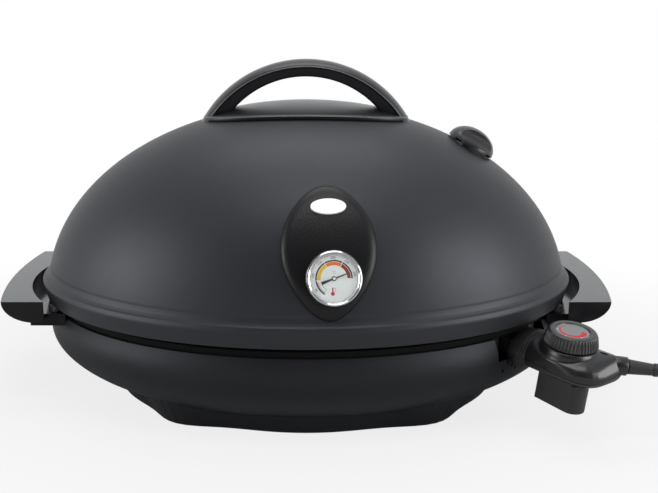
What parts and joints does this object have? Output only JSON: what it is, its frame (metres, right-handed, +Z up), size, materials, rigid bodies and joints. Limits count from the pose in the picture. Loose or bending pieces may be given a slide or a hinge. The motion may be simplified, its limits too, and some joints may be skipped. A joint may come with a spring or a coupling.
{
  "type": "electric indoor grill with lid",
  "caption": "Oval electric table grill: ribbed grill plate in a moulded base under a domed hinged lid with thermometer, vent and plug-in thermostat.",
  "frame": {"origin": "on the table, under the centre of the oval", "axes": "+X to the right along the oval's length, +Y to the rear (hinge side), +Z up"},
  "size_m": [0.806, 0.389, 0.3306],
  "materials": {
    "shell_black": "matte black non-stick and heat-proof coating with a fine grain",
    "plate_black": "non-stick coated die-cast plate, satin black",
    "reflector": "bright rolled sheet",
    "tray": "deep-drawn sheet, satin",
    "element_steel": "heat-darkened tube",
    "ceramic_block": "glazed steatite, off-white",
    "socket_black": "heat-proof moulding, matte",
    "handle_gloss": "black phenolic, glossy",
    "grip_black": "black phenolic, satin",
    "badge_black": "fine-grained black moulding",
    "rubber_black": "matte",
    "silicone_grey": "translucent grey silicone",
    "steel": "zinc-plated",
    "hinge_steel": "matte black coating",
    "pin_steel": "polished pin",
    "bezel_steel": "polished stainless steel",
    "plate_white": "bare white enamelled plate with a thin rim",
    "face_white": "printed dial face, numbers and colour zones only",
    "glass": "flat clear glass",
    "needle_black": "matte black",
    "vent_black": "satin black moulding",
    "control_black": "satin black heat-proof moulding",
    "dial_black": "ribbed black moulding",
    "dial_cap_grey": "grey disc with a plain red scale",
    "lamp": "dark red lens",
    "brass": "bright brass",
    "probe_steel": "drawn stainless tube",
    "cord_black": "matte black lead"
  },
  "bodies": {
    "base": {"base_bowl": "shell_black", "foot_ring": "shell_black", "rubber_feet": "rubber_black", "foot_screws": "steel", "heat_reflector": "reflector", "drip_tray": "tray", "grill_plate": "plate_black", "heating_element": "element_steel", "terminal_block": "ceramic_block", "socket_plate": "socket_black", "side_handle_left": "handle_gloss", "side_handle_right": "handle_gloss", "handle_screws": "steel", "lid_rests": "silicone_grey", "hinge_bracket": "hinge_steel", "hinge_pin": "pin_steel", "bracket_rivets": "steel"},
    "lid": {"lid_shell": "shell_black", "hinge_leaf": "hinge_steel", "leaf_rivets": "steel", "lid_handle": "grip_black", "handle_bolts": "steel", "badge_housing": "badge_black", "name_plate": "plate_white", "badge_screws": "steel", "thermometer_case": "bezel_steel", "thermometer_face": "face_white", "thermometer_glass": "glass", "thermometer_stem": "steel", "thermometer_nut": "steel", "vent_seat": "vent_black"},
    "needle": {"thermometer_needle": "needle_black"},
    "vent": {"vent_knob": "vent_black", "vent_shaft_pin": "steel", "vent_shutter": "steel"},
    "thermostat": {"plug_neck": "control_black", "contact_sleeves": "brass", "temperature_probe": "probe_steel", "head_top": "control_black", "head_bottom": "control_black", "head_screws": "steel", "guard_leg": "control_black", "pilot_lamp": "lamp", "cord_boot": "rubber_black", "power_cord": "cord_black", "cord_coil": "cord_black", "cord_tie": "rubber_black", "plug_lead": "cord_black", "mains_plug": "cord_black", "plug_pins": "pin_steel"},
    "dial": {"dial_knob": "dial_black", "dial_cap": "dial_cap_grey", "dial_shaft": "steel"}
  },
  "joints": [
    {"name": "lid_hinge", "type": "hinge", "parent": "base", "child": "lid", "pos_m": [0, 0.195, 0.097], "axis": [-1, 0, 0], "range_deg": [0, 95]},
    {"name": "vent_turn", "type": "hinge", "parent": "lid", "child": "vent", "pos_m": [0.162, 0, 0.24496], "axis": [0.4924, 0, 0.8704], "range_deg": [0, 45]},
    {"name": "needle_turn", "type": "hinge", "parent": "lid", "child": "needle", "pos_m": [0.0236, -0.17027, 0.1617], "axis": [0.0635, -0.9426, 0.3278], "range_deg": [-22, 205]},
    {"name": "thermostat_slide", "type": "slide", "parent": "base", "child": "thermostat", "axis": [0.6691, -0.7431, 0], "range_m": [0, 0.1]},
    {"name": "dial_turn", "type": "hinge", "parent": "thermostat", "child": "dial", "pos_m": [0.23902, -0.14, 0.08995], "axis": [-0.0873, 0.097, -0.9914], "range_deg": [0, 270]}
  ]
}
